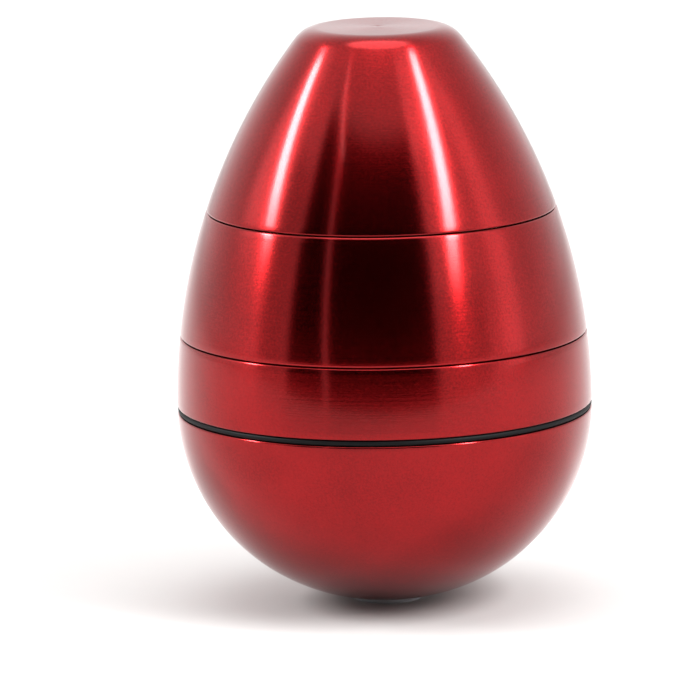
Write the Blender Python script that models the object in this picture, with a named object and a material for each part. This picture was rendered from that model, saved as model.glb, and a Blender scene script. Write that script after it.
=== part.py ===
"""Egg-shaped herb grinder: a turned aluminium egg that comes apart into four sections.

From the bottom up: a round bowl on a small foot pad, a ring that carries the
sieve, a grinding chamber with a toothed floor, and a lid with a toothed plate.
The bowl, the ring and the chamber screw together. The lid is held by two
magnets, and turns and lifts freely.

Metres, +Z up, origin at the middle of the foot pad's underside.
"""

import math

import bmesh
import bpy

MM = 0.001

# The egg's outline: two arcs that meet on the equator, and a rounded flat top.
MAX_RADIUS = 26.0 * MM
POLE_Z = 0.45 * MM
EQUATOR_Z = 25.25 * MM
BOWL_ARC_RADIUS = EQUATOR_Z - POLE_Z
SHOULDER_ARC_RADIUS = 75.5 * MM
SHOULDER_ARC_END = math.radians(37.5)
TOP_FILLET_RADIUS = 3.7 * MM

# Where the sections part, as the height of each one's upper face.
BOWL_RIM_Z = 24.4 * MM
SIEVE_BOTTOM_Z = 25.2 * MM
SIEVE_TOP_Z = 34.0 * MM
CHAMBER_TOP_Z = 49.7 * MM
SEAM_GAP = 0.12 * MM
EDGE_CHAMFER = 0.2 * MM

# The screw threads of both joints: right-hand, single start.
THREAD_PITCH = 2.0 * MM
THREAD_DEPTH = 0.7 * MM
THREAD_ROOT_RADIUS = 22.15 * MM
THREAD_CLEARANCE = 0.25 * MM
THREAD_FADE = 0.5 * MM
THREAD_ROW = 0.4 * MM
SPIGOT_BORE_RADIUS = 20.8 * MM
PILOT_RADIUS = 23.3 * MM
PILOT_LENGTH = 0.65 * MM
MOUTH_DEPTH = 0.85 * MM
SPIGOT_LENGTH = 4.6 * MM
LEAD_IN = 0.3 * MM
THREAD_MAJOR_RADIUS = THREAD_ROOT_RADIUS + THREAD_DEPTH + THREAD_CLEARANCE
MOUTH_RADIUS = PILOT_RADIUS + THREAD_CLEARANCE

# The bowl and its foot.
BOWL_WALL = 3.0 * MM
BOWL_FLOOR_Z = 5.0 * MM
BOWL_THREAD_END_Z = 19.4 * MM
PAD_RADIUS = 4.3 * MM
PAD_THICKNESS = 1.9 * MM
PAD_GAP = 0.15 * MM

# The black seal between the bowl and the sieve ring.
SEAL_INNER_RADIUS = 23.5 * MM
SEAL_OUTER_RADIUS = 25.95 * MM
SEAL_GAP = 0.05 * MM

# The screen on its ledge, and the split ring that holds it down.
LEDGE_Z = 28.3 * MM
GROOVE_RADIUS = 23.6 * MM
GROOVE_TOP_Z = 29.25 * MM
SCREEN_RADIUS = 23.3 * MM
SCREEN_THICKNESS = 0.25 * MM
CLIP_INNER_RADIUS = 21.7 * MM
CLIP_HEIGHT = 0.45 * MM
CLIP_SPLIT = math.radians(12)
REST_GAP = 0.07 * MM

# The grinding chamber.
CAVITY_RADIUS = 17.3 * MM
COLLAR_RADIUS = 18.7 * MM
COLLAR_TOP_Z = 52.7 * MM
FLOOR_TOP_Z = 42.2 * MM
FLOOR_BOTTOM_Z = 39.2 * MM
FLOOR_RADIUS = 19.9 * MM
POST_RADIUS = 3.8 * MM
POST_TOP_Z = 52.8 * MM
# The drop holes: count, ring radius and hole radius.
OUTER_HOLES = (18, 15.6 * MM, 1.5 * MM)
INNER_HOLES = (9, 9.85 * MM, 1.7 * MM)

# The lid and its toothed plate.
LID_BORE_RADIUS = 19.0 * MM
LID_WALL = 2.4 * MM
LID_CEILING_Z = 69.7 * MM
PLATE_BOTTOM_Z = 53.6 * MM
PLATE_TOP_Z = 56.0 * MM
PLATE_RADIUS = 17.9 * MM
PLATE_SEAT_Z = 53.3 * MM
GLIDE_INNER_RADIUS = 19.6 * MM
GLIDE_OUTER_RADIUS = 20.9 * MM
GLIDE_DEPTH = 1.0 * MM

# The magnets in the post and in the plate.
MAGNET_RADIUS = 2.5 * MM
MAGNET_LENGTH = 2.1 * MM
MAGNET_GAP = 0.2 * MM

# The teeth stand in rings: count and ring radius.
CHAMBER_TEETH = ((9, 12.85 * MM), (6, 6.8 * MM))
LID_TEETH = ((9, 15.65 * MM), (6, 9.85 * MM))
TOOTH_HALF_DEPTH = 1.1 * MM
TOOTH_HALF_WIDTH = 1.7 * MM
TOOTH_LENGTH = 10.2 * MM
TOOTH_TAPER = 0.75
TOOTH_ROOT = 0.8 * MM

SEGMENTS = 36
FULL_TURN = 2 * math.pi

RED = (0.47, 0.02, 0.03, 1.0)
BLACK = (0.02, 0.02, 0.02, 1.0)
GREY = (0.45, 0.45, 0.46, 1.0)
STEEL = (0.6, 0.6, 0.6, 1.0)
NICKEL = (0.75, 0.74, 0.72, 1.0)
IVORY = (0.8, 0.78, 0.72, 1.0)


def clear_scene():
    """Remove every object, so that the file starts empty."""
    for obj in list(bpy.data.objects):
        bpy.data.objects.remove(obj)


def material(name, colour, metallic, roughness):
    """A Principled material, made once and then shared by name."""
    found = bpy.data.materials.get(name)
    if found:
        return found
    made = bpy.data.materials.new(name)
    made.use_nodes = True
    shader = made.node_tree.nodes["Principled BSDF"]
    shader.inputs["Base Color"].default_value = colour
    shader.inputs["Metallic"].default_value = metallic
    shader.inputs["Roughness"].default_value = roughness
    made.diffuse_color = colour
    return made


def add_object(name, bm, finish, parent=None):
    """Turn a bmesh into a named, smooth-shaded object under its axis empty."""
    bmesh.ops.recalc_face_normals(bm, faces=bm.faces)
    mesh = bpy.data.meshes.new(name)
    bm.to_mesh(mesh)
    bm.free()
    mesh.shade_smooth()
    mesh.set_sharp_from_angle(angle=math.radians(35))
    mesh.materials.append(finish)
    obj = bpy.data.objects.new(name, mesh)
    bpy.context.collection.objects.link(obj)
    obj.parent = parent
    return obj


def axis_empty(name, parent=None):
    """An empty on the egg's axis, about which a section turns."""
    empty = bpy.data.objects.new(name, None)
    empty.empty_display_size = MAX_RADIUS
    bpy.context.collection.objects.link(empty)
    empty.parent = parent
    return empty


def arc(centre_r, centre_z, radius, start, end, steps):
    """Points (radius, height) along an arc, with angles up from the +r direction."""
    points = []
    for i in range(steps + 1):
        angle = start + (end - start) * i / steps
        points.append((centre_r + radius * math.cos(angle), centre_z + radius * math.sin(angle)))
    return points


def skin_radius(z):
    """The egg's outside radius at a height below the top fillet."""
    radius = BOWL_ARC_RADIUS if z < EQUATOR_Z else SHOULDER_ARC_RADIUS
    return MAX_RADIUS - radius + math.sqrt(radius**2 - (z - EQUATOR_Z) ** 2)


def skin(low, high, steps):
    """Outline points between two heights, with a small chamfer at each end."""
    points = [(skin_radius(low) - EDGE_CHAMFER, low)]
    first, last = low + EDGE_CHAMFER, high - EDGE_CHAMFER
    for i in range(steps + 1):
        z = first + (last - first) * i / steps
        points.append((skin_radius(z), z))
    points.append((skin_radius(high) - EDGE_CHAMFER, high))
    return points


def thread_rows(radius, low, high):
    """Evenly spaced rows from low to high, which a thread is then cut into."""
    count = round((high - low) / THREAD_ROW)
    return [(radius, low + (high - low) * i / count) for i in range(count + 1)]


def turned(section, closed, segments=SEGMENTS):
    """Spin a section round the egg's axis. A closed one is a ring, an open one ends on the axis."""
    bm = bmesh.new()
    verts = [bm.verts.new((r, 0.0, z)) for r, z in section]
    pairs = list(zip(verts, verts[1:]))
    if closed:
        pairs.append((verts[-1], verts[0]))
    edges = [bm.edges.new(pair) for pair in pairs]
    bmesh.ops.spin(
        bm, geom=verts + edges, cent=(0, 0, 0), axis=(0, 0, 1), angle=FULL_TURN, steps=segments
    )
    bmesh.ops.remove_doubles(bm, verts=bm.verts, dist=1e-7)
    return bm


def cut_thread(bm, radius, low, high, outward):
    """Press a right-hand thread into the rows at a radius, faded out at both ends."""
    for vert in bm.verts:
        x, y, z = vert.co
        if abs(math.hypot(x, y) - radius) > 1e-6 or not low - 1e-6 < z < high + 1e-6:
            continue
        angle = math.atan2(y, x)
        crest = 0.5 + 0.5 * math.cos(FULL_TURN * z / THREAD_PITCH - angle)
        fade = min(1.0, max(0.0, min(z - low, high - z) / THREAD_FADE))
        depth = crest if outward else crest - 1.0
        scale = (radius + THREAD_DEPTH * depth * fade) / radius
        vert.co = (x * scale, y * scale, z)


def ring_of_places(count, radius):
    """Angles and centres of pieces spread round a ring, with a gap left at angle 0."""
    for i in range(count):
        angle = FULL_TURN * (i + 0.5) / count
        yield angle, radius * math.cos(angle), radius * math.sin(angle)


def prism(bm, corners, low, high, top_scale):
    """A straight or tapered prism over corners given as (centre, offset) pairs."""
    bottom = [bm.verts.new((cx + dx, cy + dy, low)) for (cx, cy), (dx, dy) in corners]
    top = [
        bm.verts.new((cx + dx * top_scale, cy + dy * top_scale, high))
        for (cx, cy), (dx, dy) in corners
    ]
    bm.faces.new(bottom)
    bm.faces.new(top)
    for i in range(len(corners)):
        j = (i + 1) % len(corners)
        bm.faces.new((bottom[i], bottom[j], top[j], top[i]))


def helper(name, bm):
    """An unrendered object that a Boolean modifier reads."""
    obj = add_object(name, bm, material("helper", GREY, 0.0, 0.5))
    obj.hide_render = True
    obj.display_type = "WIRE"
    return obj


def teeth(name, rings, root_z, tip_z):
    """Diamond-shaped teeth, with their sharp edges facing the way they travel."""
    bm = bmesh.new()
    for count, radius in rings:
        for angle, x, y in ring_of_places(count, radius):
            out = (math.cos(angle), math.sin(angle))
            offsets = (
                (out[0] * TOOTH_HALF_DEPTH, out[1] * TOOTH_HALF_DEPTH),
                (-out[1] * TOOTH_HALF_WIDTH, out[0] * TOOTH_HALF_WIDTH),
                (-out[0] * TOOTH_HALF_DEPTH, -out[1] * TOOTH_HALF_DEPTH),
                (out[1] * TOOTH_HALF_WIDTH, -out[0] * TOOTH_HALF_WIDTH),
            )
            corners = [((x, y), offset) for offset in offsets]
            prism(bm, corners, root_z, tip_z, TOOTH_TAPER)
    return helper(name, bm)


def drop_holes(name, low, high):
    """Round cutters for the holes that ground herb falls through."""
    bm = bmesh.new()
    sides = 10
    for count, ring_radius, hole_radius in (OUTER_HOLES, INNER_HOLES):
        for _, x, y in ring_of_places(count, ring_radius):
            corners = []
            for k in range(sides):
                turn = FULL_TURN * k / sides
                corners.append(((x, y), (hole_radius * math.cos(turn), hole_radius * math.sin(turn))))
            prism(bm, corners, low, high, 1.0)
    return helper(name, bm)


def boolean(obj, operation, other):
    """Add an exact Boolean modifier."""
    modifier = obj.modifiers.new(other.name, "BOOLEAN")
    modifier.operation = operation
    modifier.solver = "EXACT"
    modifier.object = other


def build_bowl():
    """The bowl: an arc outside, a flat floor inside, a threaded mouth and a recess for the pad."""
    recess_radius = PAD_RADIUS + PAD_GAP
    recess_z = PAD_THICKNESS + PAD_GAP
    centre_r = MAX_RADIUS - BOWL_ARC_RADIUS
    low = -math.acos((recess_radius - centre_r) / BOWL_ARC_RADIUS)
    high = -math.asin((EQUATOR_Z - BOWL_RIM_Z + EDGE_CHAMFER) / BOWL_ARC_RADIUS)
    inner = BOWL_ARC_RADIUS - BOWL_WALL
    inner_high = -math.asin((EQUATOR_Z - BOWL_THREAD_END_Z + LEAD_IN) / inner)
    inner_low = -math.asin((EQUATOR_Z - BOWL_FLOOR_Z) / inner)
    section = [(0.0, recess_z), (recess_radius, recess_z)]
    section += arc(centre_r, EQUATOR_Z, BOWL_ARC_RADIUS, low, high, 12)
    section += [(skin_radius(BOWL_RIM_Z) - EDGE_CHAMFER, BOWL_RIM_Z)]
    section += mouth(BOWL_RIM_Z, BOWL_THREAD_END_Z)
    section += arc(centre_r, EQUATOR_Z, inner, inner_high, inner_low, 8)
    section += [(0.0, BOWL_FLOOR_Z)]
    bm = turned(section, closed=False)
    thread_top = BOWL_RIM_Z - MOUTH_DEPTH
    cut_thread(bm, THREAD_MAJOR_RADIUS, BOWL_THREAD_END_Z, thread_top, outward=False)
    add_object("bowl_shell", bm, material("anodised_red", RED, 1.0, 0.25))


def build_pad():
    """The rubber pad that the egg stands on."""
    edge = 0.25 * MM
    section = [(0.0, 0.0), (PAD_RADIUS - edge, 0.0), (PAD_RADIUS, edge)]
    section += [(PAD_RADIUS, PAD_THICKNESS), (0.0, PAD_THICKNESS)]
    add_object("foot_pad", turned(section, closed=False), material("silicone_grey", GREY, 0.0, 0.6))


def build_seal(parent):
    """The flat rubber seal, with a rounded outer edge, that shows as a black line."""
    low, high = BOWL_RIM_Z + SEAL_GAP, SIEVE_BOTTOM_Z - SEAL_GAP
    edge = (high - low) / 2
    section = [(SEAL_INNER_RADIUS, low)]
    section += arc(
        SEAL_OUTER_RADIUS - edge, low + edge, edge, -math.pi / 2, math.pi / 2, 4
    )
    section += [(SEAL_INNER_RADIUS, high)]
    bm = turned(section, closed=True)
    add_object("seal_ring", bm, material("rubber_black", BLACK, 0.0, 0.5), parent)


def spigot(rim_z, shoulder_z):
    """Section of a threaded spigot, from its bore round to the shoulder above its pilot."""
    end_z = rim_z - SPIGOT_LENGTH
    pilot_z = rim_z - PILOT_LENGTH
    section = [(SPIGOT_BORE_RADIUS, end_z), (THREAD_ROOT_RADIUS - LEAD_IN, end_z)]
    section += thread_rows(THREAD_ROOT_RADIUS, end_z + LEAD_IN, pilot_z - LEAD_IN)
    section += [(PILOT_RADIUS, pilot_z), (PILOT_RADIUS, shoulder_z)]
    return section


def cut_spigot_thread(bm, rim_z):
    """The male thread of the spigot that goes into a mouth whose rim is at a height."""
    low, high = rim_z - SPIGOT_LENGTH + LEAD_IN, rim_z - PILOT_LENGTH - LEAD_IN
    cut_thread(bm, THREAD_ROOT_RADIUS, low, high, outward=True)


def mouth(rim_z, end_z):
    """Section of a threaded mouth, from its rim down past its thread."""
    top = rim_z - MOUTH_DEPTH
    section = [(MOUTH_RADIUS, rim_z), (MOUTH_RADIUS, top)]
    section += reversed(thread_rows(THREAD_MAJOR_RADIUS, end_z, top))
    return section


def build_sieve_ring(parent):
    """The ring below the chamber: a mouth above, a ledge for the screen, a spigot below."""
    section = spigot(BOWL_RIM_Z, SIEVE_BOTTOM_Z)
    section += skin(SIEVE_BOTTOM_Z, SIEVE_TOP_Z, 4)
    section += mouth(SIEVE_TOP_Z, GROOVE_TOP_Z)
    section += [(GROOVE_RADIUS, GROOVE_TOP_Z), (GROOVE_RADIUS, LEDGE_Z)]
    section += [(SPIGOT_BORE_RADIUS, LEDGE_Z)]
    bm = turned(section, closed=True)
    cut_spigot_thread(bm, BOWL_RIM_Z)
    cut_thread(bm, THREAD_MAJOR_RADIUS, GROOVE_TOP_Z, SIEVE_TOP_Z - MOUTH_DEPTH, outward=False)
    add_object("sieve_ring", bm, material("anodised_red", RED, 1.0, 0.25), parent)


def build_screen(parent):
    """The woven steel screen, as a thin disc on the ledge."""
    low = LEDGE_Z + REST_GAP
    section = [(0.0, low), (SCREEN_RADIUS, low)]
    section += [(SCREEN_RADIUS, low + SCREEN_THICKNESS), (0.0, low + SCREEN_THICKNESS)]
    bm = turned(section, closed=False)
    add_object("sieve_screen", bm, material("steel_mesh", STEEL, 1.0, 0.4), parent)


def build_clip(parent):
    """The split spring ring that snaps into the groove above the screen."""
    low = LEDGE_Z + 2 * REST_GAP + SCREEN_THICKNESS
    outer = GROOVE_RADIUS - THREAD_CLEARANCE
    bm = bmesh.new()
    corners = [(CLIP_INNER_RADIUS, low), (outer, low)]
    corners += [(outer, low + CLIP_HEIGHT), (CLIP_INNER_RADIUS, low + CLIP_HEIGHT)]
    rings = []
    for i in range(SEGMENTS + 1):
        angle = CLIP_SPLIT / 2 + (FULL_TURN - CLIP_SPLIT) * i / SEGMENTS
        c, s = math.cos(angle), math.sin(angle)
        rings.append([bm.verts.new((r * c, r * s, z)) for r, z in corners])
    for first, second in zip(rings, rings[1:]):
        for j in range(len(corners)):
            k = (j + 1) % len(corners)
            bm.faces.new((first[j], first[k], second[k], second[j]))
    bm.faces.new(rings[0])
    bm.faces.new(rings[-1])
    add_object("screen_clip", bm, material("spring_steel", STEEL, 1.0, 0.3), parent)


def build_chamber_ring(parent):
    """The chamber's wall: a collar above, a press bore for the toothed floor, a spigot below."""
    shoulder_z = SIEVE_TOP_Z + SEAM_GAP
    section = [(SPIGOT_BORE_RADIUS, FLOOR_BOTTOM_Z - REST_GAP)]
    section += spigot(SIEVE_TOP_Z, shoulder_z)
    section += skin(shoulder_z, CHAMBER_TOP_Z, 6)
    section += [(COLLAR_RADIUS, CHAMBER_TOP_Z), (COLLAR_RADIUS, COLLAR_TOP_Z - LEAD_IN)]
    section += [(COLLAR_RADIUS - LEAD_IN, COLLAR_TOP_Z), (CAVITY_RADIUS, COLLAR_TOP_Z)]
    section += [(CAVITY_RADIUS, FLOOR_TOP_Z + REST_GAP), (FLOOR_RADIUS + REST_GAP, FLOOR_TOP_Z + REST_GAP)]
    section += [(FLOOR_RADIUS + REST_GAP, FLOOR_BOTTOM_Z - REST_GAP)]
    bm = turned(section, closed=True)
    cut_spigot_thread(bm, SIEVE_TOP_Z)
    add_object("chamber_ring", bm, material("anodised_red", RED, 1.0, 0.25), parent)


def build_chamber_floor(parent):
    """The chamber's floor, pressed in from below: teeth, drop holes and the magnet's post."""
    pocket_radius = MAGNET_RADIUS + MAGNET_GAP
    pocket_z = POST_TOP_Z - MAGNET_LENGTH - 2 * MAGNET_GAP
    section = [(0.0, FLOOR_BOTTOM_Z), (FLOOR_RADIUS, FLOOR_BOTTOM_Z), (FLOOR_RADIUS, FLOOR_TOP_Z)]
    section += [(POST_RADIUS, FLOOR_TOP_Z), (POST_RADIUS, POST_TOP_Z)]
    section += [(pocket_radius, POST_TOP_Z), (pocket_radius, pocket_z), (0.0, pocket_z)]
    bm = turned(section, closed=False)
    floor = add_object("chamber_tooth_plate", bm, material("anodised_red", RED, 1.0, 0.25), parent)
    tip_z = FLOOR_TOP_Z + TOOTH_LENGTH
    root_z = FLOOR_TOP_Z - TOOTH_ROOT
    boolean(floor, "UNION", teeth("chamber_teeth", CHAMBER_TEETH, root_z, tip_z))
    over = 1.0 * MM
    holes = drop_holes("drop_hole_cutters", FLOOR_BOTTOM_Z - over, FLOOR_TOP_Z + over)
    boolean(floor, "DIFFERENCE", holes)


def build_magnet(name, low, parent):
    """A round magnet standing on the axis."""
    high = low + MAGNET_LENGTH
    edge = 0.2 * MM
    section = [(0.0, low), (MAGNET_RADIUS - edge, low), (MAGNET_RADIUS, low + edge)]
    section += [(MAGNET_RADIUS, high - edge), (MAGNET_RADIUS - edge, high), (0.0, high)]
    bm = turned(section, closed=False, segments=20)
    add_object(name, bm, material("magnet_nickel", NICKEL, 1.0, 0.2), parent)


def build_glide(parent):
    """The nylon ring in the lid's groove, on which the lid turns."""
    low = CHAMBER_TOP_Z + REST_GAP
    high = CHAMBER_TOP_Z + SEAM_GAP + GLIDE_DEPTH - REST_GAP
    inner, outer = GLIDE_INNER_RADIUS + REST_GAP, GLIDE_OUTER_RADIUS - REST_GAP
    section = [(inner, low), (outer, low), (outer, high), (inner, high)]
    add_object("glide_ring", turned(section, closed=True), material("nylon", IVORY, 0.0, 0.5), parent)


def build_lid(parent):
    """The lid's shell: a hollow dome with a bore for the collar and a seat for the plate."""
    low = CHAMBER_TOP_Z + SEAM_GAP
    centre_r = MAX_RADIUS - SHOULDER_ARC_RADIUS
    start = math.asin((low + EDGE_CHAMFER - EQUATOR_Z) / SHOULDER_ARC_RADIUS)
    fillet_r = centre_r + (SHOULDER_ARC_RADIUS - TOP_FILLET_RADIUS) * math.cos(SHOULDER_ARC_END)
    fillet_z = EQUATOR_Z + (SHOULDER_ARC_RADIUS - TOP_FILLET_RADIUS) * math.sin(SHOULDER_ARC_END)
    inner = SHOULDER_ARC_RADIUS - LID_WALL
    seat_z = PLATE_TOP_Z + REST_GAP
    inner_start = math.asin((seat_z - EQUATOR_Z) / inner)
    inner_end = math.asin((LID_CEILING_Z - EQUATOR_Z) / inner)
    section = [(LID_BORE_RADIUS, low), (GLIDE_INNER_RADIUS, low)]
    section += [(GLIDE_INNER_RADIUS, low + GLIDE_DEPTH), (GLIDE_OUTER_RADIUS, low + GLIDE_DEPTH)]
    section += [(GLIDE_OUTER_RADIUS, low), (skin_radius(low) - EDGE_CHAMFER, low)]
    section += arc(centre_r, EQUATOR_Z, SHOULDER_ARC_RADIUS, start, SHOULDER_ARC_END, 8)
    section += arc(fillet_r, fillet_z, TOP_FILLET_RADIUS, SHOULDER_ARC_END, math.pi / 2, 4)[1:]
    section += [(0.0, fillet_z + TOP_FILLET_RADIUS), (0.0, LID_CEILING_Z)]
    section += reversed(arc(centre_r, EQUATOR_Z, inner, inner_start, inner_end, 4))
    section += [(PLATE_RADIUS + REST_GAP, seat_z), (PLATE_RADIUS + REST_GAP, PLATE_SEAT_Z)]
    section += [(LID_BORE_RADIUS, PLATE_SEAT_Z)]
    bm = turned(section, closed=True)
    add_object("lid_shell", bm, material("anodised_red", RED, 1.0, 0.25), parent)


def build_plate(parent):
    """The toothed plate pressed into the lid, with a pocket for the lid's magnet."""
    pocket_radius = MAGNET_RADIUS + MAGNET_GAP
    pocket_z = PLATE_BOTTOM_Z + MAGNET_LENGTH + 2 * MAGNET_GAP
    boss_top = pocket_z + 1.0 * MM
    section = [(0.0, pocket_z), (pocket_radius, pocket_z), (pocket_radius, PLATE_BOTTOM_Z)]
    section += [(PLATE_RADIUS, PLATE_BOTTOM_Z), (PLATE_RADIUS, PLATE_TOP_Z)]
    section += [(POST_RADIUS, PLATE_TOP_Z), (POST_RADIUS, boss_top), (0.0, boss_top)]
    bm = turned(section, closed=False)
    plate = add_object("lid_tooth_plate", bm, material("anodised_red", RED, 1.0, 0.25), parent)
    tip_z = PLATE_BOTTOM_Z - TOOTH_LENGTH
    boolean(plate, "UNION", teeth("lid_teeth", LID_TEETH, PLATE_BOTTOM_Z + TOOTH_ROOT, tip_z))


def build():
    """Make every piece, the moving ones under the empty of the axis they turn on."""
    clear_scene()
    sieve_axis = axis_empty("sieve_axis")
    chamber_axis = axis_empty("chamber_axis", sieve_axis)
    lid_axis = axis_empty("lid_axis", chamber_axis)
    build_bowl()
    build_pad()
    build_seal(sieve_axis)
    build_sieve_ring(sieve_axis)
    build_screen(sieve_axis)
    build_clip(sieve_axis)
    build_chamber_ring(chamber_axis)
    build_chamber_floor(chamber_axis)
    build_magnet("chamber_magnet", POST_TOP_Z - MAGNET_LENGTH - MAGNET_GAP, chamber_axis)
    build_glide(lid_axis)
    build_lid(lid_axis)
    build_plate(lid_axis)
    build_magnet("lid_magnet", PLATE_BOTTOM_Z + MAGNET_GAP, lid_axis)


build()
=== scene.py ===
"""An egg-shaped herb grinder of red anodised aluminium, standing on a white studio table.

Almost every piece is turned about the egg's axis. A lathe class spins their
sections, with corners softened as a deburring tool leaves them, and presses the
screw threads into the rows of the spigots and mouths. Sections are in
millimetres, heights from the table; the lathe turns them into metres.
"""

import logging
import math
from collections.abc import Iterable, Sequence
from dataclasses import dataclass, field
from enum import Enum
from typing import NamedTuple

import bmesh
import bpy
import numpy as np
from bmesh.types import BMesh
from bpy.types import Light, Material, Node, NodeSocket, NodeTree, Object
from mathutils import Matrix, Vector

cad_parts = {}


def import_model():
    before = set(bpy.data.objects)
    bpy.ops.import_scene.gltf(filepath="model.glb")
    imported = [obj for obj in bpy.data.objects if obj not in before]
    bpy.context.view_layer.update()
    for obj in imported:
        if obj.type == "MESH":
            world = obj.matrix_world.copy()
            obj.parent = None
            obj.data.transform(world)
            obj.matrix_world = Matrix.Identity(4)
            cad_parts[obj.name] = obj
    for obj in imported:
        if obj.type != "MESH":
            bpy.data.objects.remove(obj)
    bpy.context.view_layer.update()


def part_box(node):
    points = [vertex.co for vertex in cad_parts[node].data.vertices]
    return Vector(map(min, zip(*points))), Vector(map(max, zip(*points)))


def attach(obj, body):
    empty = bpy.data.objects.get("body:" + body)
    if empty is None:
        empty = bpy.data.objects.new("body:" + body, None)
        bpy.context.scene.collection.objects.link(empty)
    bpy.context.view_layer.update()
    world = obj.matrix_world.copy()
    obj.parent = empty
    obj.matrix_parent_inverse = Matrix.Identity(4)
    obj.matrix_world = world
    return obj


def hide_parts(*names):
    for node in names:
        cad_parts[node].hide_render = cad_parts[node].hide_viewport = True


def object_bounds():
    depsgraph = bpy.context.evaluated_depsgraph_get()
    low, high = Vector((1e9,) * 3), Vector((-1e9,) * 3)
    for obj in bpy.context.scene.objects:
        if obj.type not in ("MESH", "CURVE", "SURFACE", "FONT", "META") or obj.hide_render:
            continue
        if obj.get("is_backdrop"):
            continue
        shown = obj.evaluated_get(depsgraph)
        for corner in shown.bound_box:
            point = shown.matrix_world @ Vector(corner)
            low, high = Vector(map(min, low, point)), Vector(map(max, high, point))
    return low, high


MM = 0.001
FULL_TURN = 2 * math.pi
TOUCH = 1e-6  # closer than this, in millimetres, two sizes are the same
MAX_CUT = 0.4  # the most of a side that one softened corner takes
TRIMMED, EASED, ROUNDED = 0.12, 0.3, 0.4  # how far back edges are softened, in millimetres
SHARP_SECTION = math.radians(20)  # a section's corners that turn further are softened
SHARP_SURFACE = math.radians(35)  # a piece's edges that turn further stay sharp
log = logging.getLogger("egg_grinder")


class Corner(NamedTuple):
    """One point of a turned section, in millimetres.

    Args:
        r: Distance from the axis.
        z: Height.
        edge: How far back the corner is softened, if it is a sharp one.
    """

    r: float
    z: float
    edge: float = TRIMMED


class Side(Enum):
    """Which way a thread's ridges stand from its rows: outwards for 0, inwards for 1."""

    MALE = 0.0
    FEMALE = 1.0


# ---- helpers


def linear(colour: str) -> tuple[float, float, float, float]:
    """Turn an sRGB hex colour into linear RGBA.

    Args:
        colour: Hex digits after a hash, such as "#A01C26".

    Returns:
        The linear red, green and blue, with an alpha of 1.
    """
    shades = [int(colour[i : i + 2], 16) / 255 for i in (1, 3, 5)]
    red, green, blue = (c / 12.92 if c <= 0.04045 else ((c + 0.055) / 1.055) ** 2.4 for c in shades)
    return red, green, blue, 1.0


def feed(tree: NodeTree, node: Node, inputs: dict) -> None:
    """Set a node's inputs, or link them.

    Args:
        tree: The node tree that it is in.
        node: The node.
        inputs: For each input by name or number: its value, the socket that feeds
            it, or the node whose first output does.
    """
    for key, value in inputs.items():
        if isinstance(value, Node):
            value = value.outputs[0]
        if isinstance(value, NodeSocket):
            tree.links.new(value, node.inputs[key])
        else:
            node.inputs[key].default_value = value


def add_node(tree: NodeTree, kind: str, inputs: dict | None = None, **settings: object) -> Node:
    """Add a shader node with its settings and inputs.

    Args:
        tree: The node tree to add to.
        kind: The node's class name, without the "ShaderNode" before it.
        inputs: What feed takes.
        **settings: The node's own properties.

    Returns:
        The new node.
    """
    made = tree.nodes.new(f"ShaderNode{kind}")
    for name, value in settings.items():
        setattr(made, name, value)
    feed(tree, made, inputs or {})
    return made


def new_object(name: str, bm: BMesh) -> Object:
    """Turn a bmesh into a linked object with its faces pointing out.

    Args:
        name: The object's name.
        bm: The mesh data, which is freed.

    Returns:
        The new object.
    """
    bmesh.ops.recalc_face_normals(bm, faces=bm.faces)
    mesh = bpy.data.meshes.new(name)
    bm.to_mesh(mesh)
    bm.free()
    obj = bpy.data.objects.new(name, mesh)
    bpy.context.scene.collection.objects.link(obj)
    return obj


def shade(obj: Object) -> None:
    """Shade a piece smooth, but for its sharp edges, and keep its flats flat.

    Args:
        obj: The piece.
    """
    obj.data.shade_smooth()
    obj.data.set_sharp_from_angle(angle=SHARP_SURFACE)
    name = "even_shading"
    modifier = obj.modifiers.get(name) or obj.modifiers.new(name, "WEIGHTED_NORMAL")
    modifier.keep_sharp = True


def loft(bm: BMesh, loops: Sequence[list], wrap: bool = True, capped: bool = False) -> None:
    """Join each loop of vertices to the next one with faces.

    Args:
        bm: The mesh to add to.
        loops: The loops, all of one length but for single points.
        wrap: Whether each loop's last vertex joins its first.
        capped: Whether a face closes each end.
    """
    if capped:
        bm.faces.new(loops[0])
        bm.faces.new(loops[-1])
    for first, second in zip(loops, loops[1:]):
        count = max(len(first), len(second))
        for i in range(count - (not wrap) if count > 1 else 0):
            j = (i + 1) % count
            corners = [first[i % len(first)], first[j % len(first)]]
            corners += [second[j % len(second)], second[i % len(second)]]
            bm.faces.new(list(dict.fromkeys(corners)))


def profile(*places: tuple[float, ...]) -> list[Corner]:
    """Part of a section, from each corner's distance from the axis, height and, if set, edge."""
    return [Corner(*place) for place in places]


def arc(centre: tuple[float, float], radius: float, start: float, end: float, steps: int) -> list[Corner]:
    """Points along an arc of a section.

    Args:
        centre: The arc's centre as (distance from the axis, height).
        radius: The arc's radius.
        start: First angle in radians, up from straight out.
        end: Last angle.
        steps: How many chords the arc has.

    Returns:
        The points, both ends included.
    """
    turns = [start + (end - start) * i / steps for i in range(steps + 1)]
    return [Corner(centre[0] + radius * math.cos(a), centre[1] + radius * math.sin(a)) for a in turns]


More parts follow.
